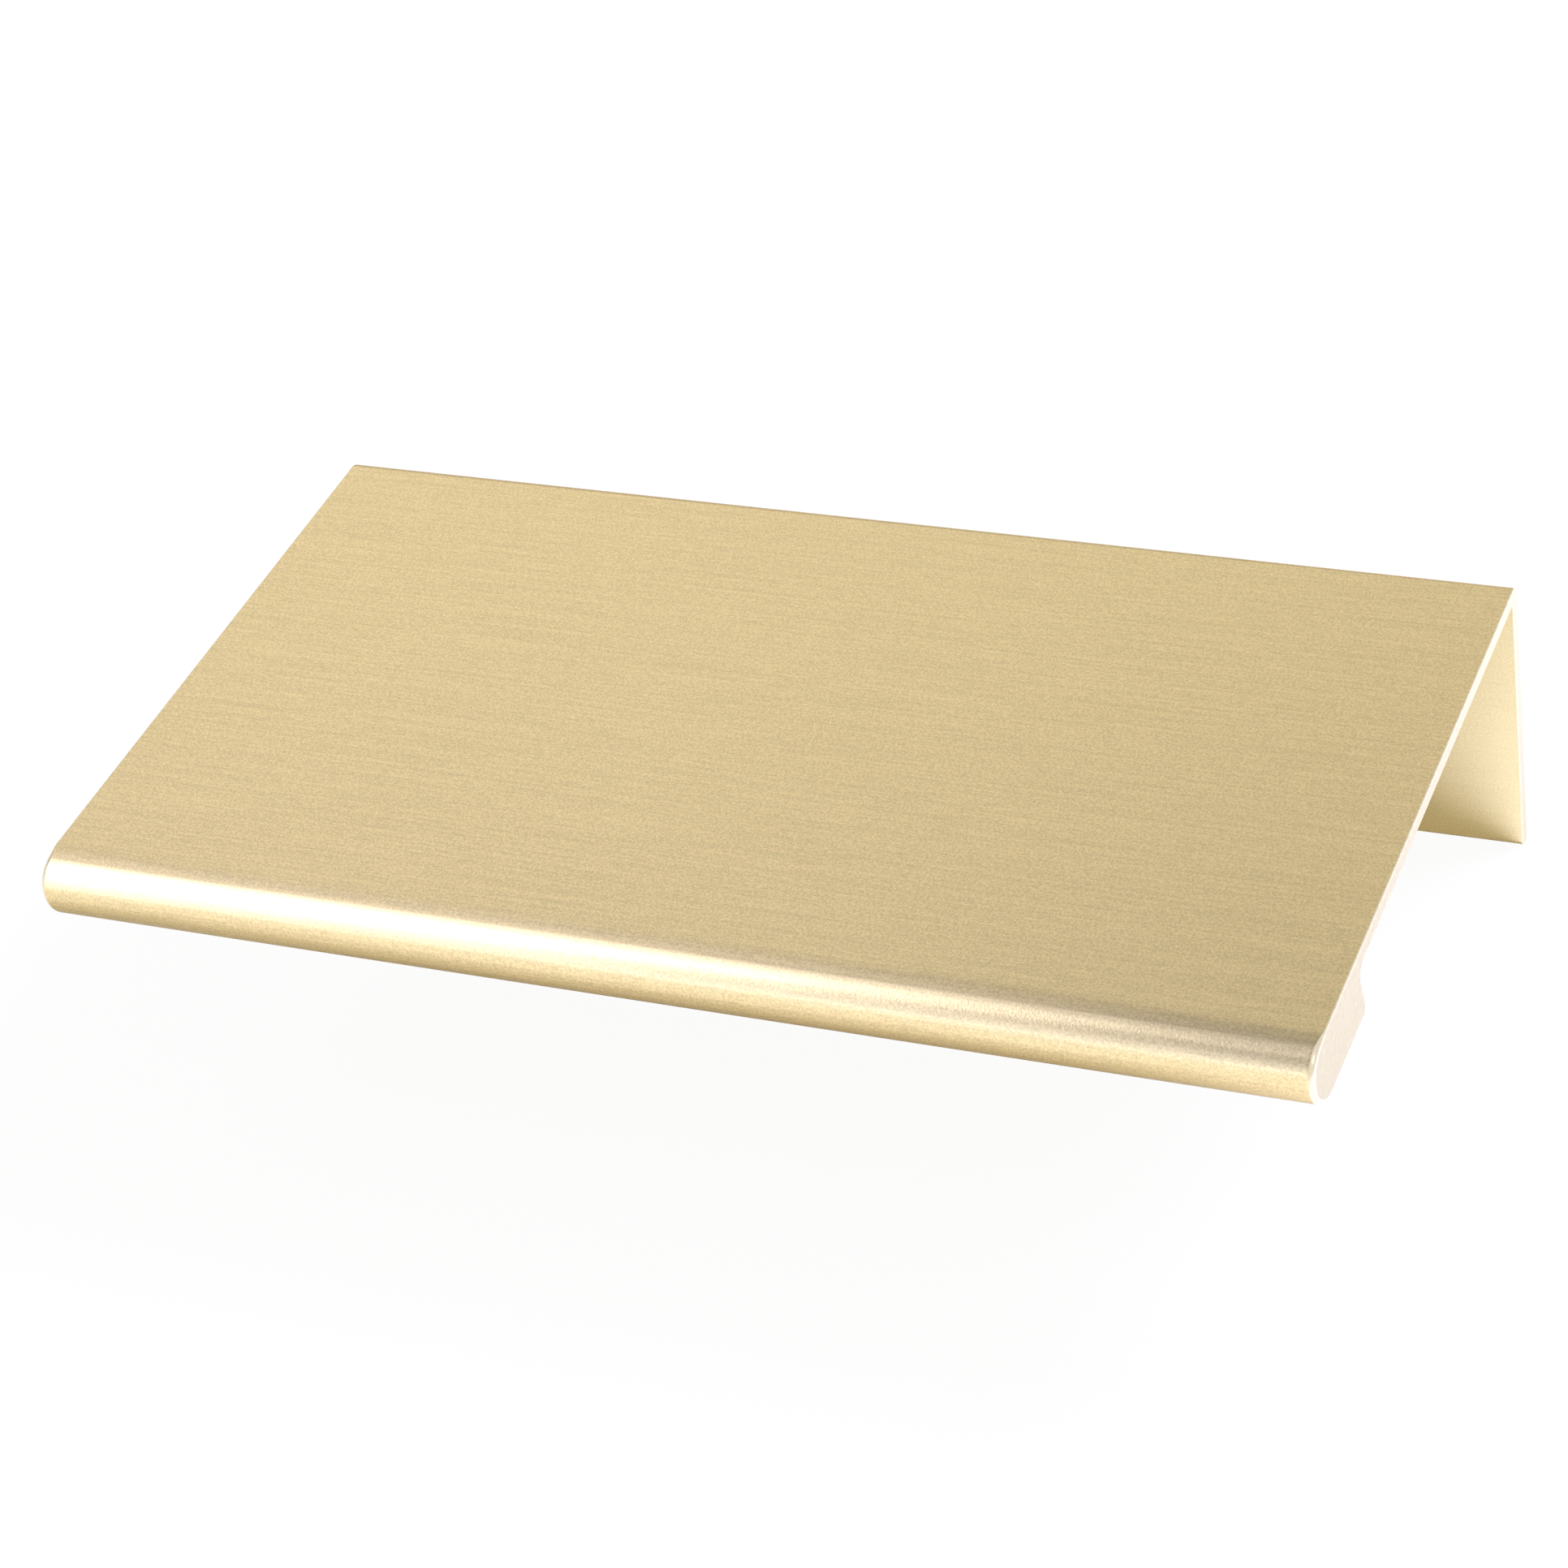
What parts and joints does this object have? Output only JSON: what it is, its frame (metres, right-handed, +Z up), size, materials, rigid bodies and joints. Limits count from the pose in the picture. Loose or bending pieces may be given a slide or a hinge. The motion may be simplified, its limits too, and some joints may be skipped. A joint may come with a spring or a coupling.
{
  "type": "tab pull",
  "caption": "Brushed gold tab pull for the top edge of a drawer or door: a thin flat plate with a rounded finger lip in front and a screw flange turned down behind.",
  "frame": {"origin": "midway between the two screw holes, on the face of the flange that seats on the back of the leaf", "axes": "+X along the pull, +Y towards the back of the leaf, along the screw holes, +Z up: the plate lies level, the lip is at -Y and the flange hangs down"},
  "size_m": [0.08, 0.0455, 0.02],
  "materials": {
    "brushed_gold": "brushed along the length, gold anodised"
  },
  "bodies": {
    "root": {"tab_pull": "brushed_gold"}
  },
  "joints": []
}
